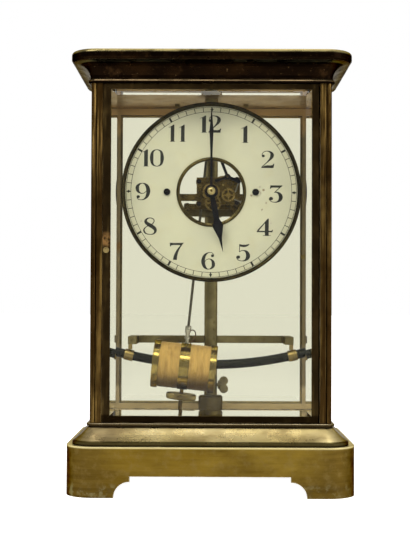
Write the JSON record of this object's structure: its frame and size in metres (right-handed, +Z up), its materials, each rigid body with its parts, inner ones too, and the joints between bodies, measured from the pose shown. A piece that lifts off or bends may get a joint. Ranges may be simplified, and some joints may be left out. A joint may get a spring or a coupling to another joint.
{
  "type": "cage clock",
  "caption": "Four-glass brass mantel clock with an open-centre ring dial and an electromagnetic pendulum whose coil swings over a curved bar magnet.",
  "frame": {"origin": "middle of the case on the plane that the feet rest on", "axes": "+Z up, the dial faces -Y, +X to the right as seen from the front"},
  "size_m": [0.2176, 0.1538, 0.3345],
  "materials": {
    "brass_base": "worn olive-gold, brushed",
    "brass_patina": "very dark brown patina, polished high edges",
    "brass_pillar": "brown patina with golden streaks",
    "brass_inner": "dull lacquered brass",
    "brass_movement": "fine satin",
    "brass_bezel": "dull, lightly tarnished",
    "glass": "clear, bevelled",
    "iron_dark": "blackened, smooth",
    "steel_blue": "blued",
    "steel": "satin",
    "nickel": "dull nickel plate",
    "dial_cream": "cream, worn and slightly chipped",
    "silk": "silk-covered wire, orange tan",
    "lead_brown": "brown cotton braid",
    "battery_label": "plain dark sleeve"
  },
  "bodies": {
    "case": {"plinth": "brass_base", "bottom_cover": "brass_inner", "cover_screws": "steel", "plinth_moulding": "brass_base", "case_floor": "brass_inner", "pillars": "brass_pillar", "hinge_pins": "steel", "side_frames": "brass_pillar", "side_glass_left": "glass", "side_glass_right": "glass", "ceiling_plate": "brass_inner", "ceiling_nuts": "brass_inner", "cornice": "brass_patina", "column": "brass_inner", "column_nuts": "brass_patina", "column_socket": "brass_inner", "magnet": "iron_dark", "magnet_clamps": "brass_inner", "magnet_bracket": "brass_inner", "bracket_screw": "steel", "suspension_cock": "brass_inner", "suspension_pin": "steel", "dial_plate": "dial_cream", "dial_bezel": "brass_bezel", "window_bezel": "brass_bezel", "dial_screws": "steel_blue", "front_plate": "brass_movement", "back_plate": "brass_movement", "movement_pillars": "brass_movement", "plate_screws": "steel_blue", "movement_bracket": "brass_inner", "battery": "battery_label", "battery_clips": "brass_inner"},
    "front_door": {"front_door_frame": "brass_pillar", "front_door_glass": "glass"},
    "front_catch": {"front_catch": "brass_inner"},
    "rear_door": {"rear_door_frame": "brass_pillar", "rear_door_glass": "glass"},
    "rear_catch": {"rear_catch": "brass_inner"},
    "pendulum": {"suspension_spring": "steel", "pendulum_rod": "steel", "pendulum_hook": "nickel", "coil_bobbin": "brass_inner", "coil_cores": "silk", "coil_turns": "silk", "coil_lead": "lead_brown", "rating_screw": "brass_inner"},
    "rating_nut": {"rating_nut": "brass_inner"},
    "minute": {"minute_arbor": "brass_movement", "minute_hand": "steel_blue", "hand_nut": "brass_movement"},
    "minute_wheel": {"minute_wheel": "brass_movement"},
    "hour": {"hour_wheel": "brass_movement", "hour_hand": "steel_blue"},
    "second_wheel": {"second_wheel": "brass_movement"},
    "ratchet_wheel": {"ratchet_wheel": "brass_movement"},
    "drive_lever": {"drive_lever": "steel_blue"},
    "drive_pawl": {"drive_pawl": "steel"},
    "detent_click": {"detent_click": "steel"},
    "binding_screw": {"binding_screw": "brass_inner"}
  },
  "joints": [
    {"name": "front_door_hinge", "type": "hinge", "parent": "case", "child": "front_door", "pos_m": [0.0793, -0.057, 0.06], "axis": [0, 0, 1], "range_deg": [0, 100]},
    {"name": "front_catch_turn", "type": "hinge", "parent": "front_door", "child": "front_catch", "pos_m": [-0.0793, -0.059, 0.184], "axis": [0, 1, 0], "range_deg": [0, 90]},
    {"name": "rear_door_hinge", "type": "hinge", "parent": "case", "child": "rear_door", "pos_m": [-0.0793, 0.057, 0.06], "axis": [0, 0, 1], "range_deg": [0, 100]},
    {"name": "rear_catch_turn", "type": "hinge", "parent": "rear_door", "child": "rear_catch", "pos_m": [0.0793, 0.059, 0.184], "axis": [0, 1, 0], "range_deg": [0, 90]},
    {"name": "pendulum_swing", "type": "hinge", "parent": "case", "child": "pendulum", "pos_m": [0, -0.016, 0.298], "axis": [0, 1, 0], "range_deg": [-13.35, 1.65]},
    {"name": "rating_nut_turn", "type": "hinge", "parent": "pendulum", "child": "rating_nut", "pos_m": [-0.02332, -0.016, 0.07039], "axis": [0.1019, 0, 0.9948], "continuous": true},
    {"name": "second_wheel_spin", "type": "hinge", "parent": "case", "child": "second_wheel", "pos_m": [0.00916, -0.022, 0.23669], "axis": [0, 1, 0], "continuous": true},
    {"name": "minute_spin", "type": "hinge", "parent": "case", "child": "minute", "pos_m": [0, -0.026, 0.2306], "axis": [0, 1, 0], "continuous": true},
    {"name": "minute_wheel_spin", "type": "hinge", "parent": "case", "child": "minute_wheel", "pos_m": [0.00131, -0.031, 0.2223], "axis": [0, 1, 0], "continuous": true},
    {"name": "hour_spin", "type": "hinge", "parent": "case", "child": "hour", "pos_m": [0, -0.036, 0.2306], "axis": [0, 1, 0], "continuous": true},
    {"name": "ratchet_spin", "type": "hinge", "parent": "case", "child": "ratchet_wheel", "pos_m": [0.0133, -0.026, 0.2287], "axis": [0, 1, 0], "continuous": true},
    {"name": "drive_lever_rock", "type": "hinge", "parent": "case", "child": "drive_lever", "pos_m": [0.0126, -0.0316, 0.243], "axis": [0, -1, 0], "range_deg": [0, 2.5]},
    {"name": "drive_pawl_lift", "type": "hinge", "parent": "drive_lever", "child": "drive_pawl", "pos_m": [0.0216, -0.0302, 0.2392], "axis": [0, -1, 0], "range_deg": [0, 10]},
    {"name": "detent_click_lift", "type": "hinge", "parent": "case", "child": "detent_click", "pos_m": [0.024, -0.0302, 0.2231], "axis": [0, -1, 0], "range_deg": [0, 8]},
    {"name": "binding_screw_turn", "type": "hinge", "parent": "case", "child": "binding_screw", "pos_m": [0.009, 0.0095, 0.0778], "axis": [1, 0, 0], "continuous": true}
  ],
  "couplings": [
    {"joint": "second_wheel_spin", "follows": "minute_spin", "ratio": -10},
    {"joint": "minute_wheel_spin", "follows": "minute_spin", "ratio": -0.33333},
    {"joint": "hour_spin", "follows": "minute_spin", "ratio": 0.083333},
    {"joint": "ratchet_spin", "follows": "minute_spin", "ratio": 80}
  ]
}
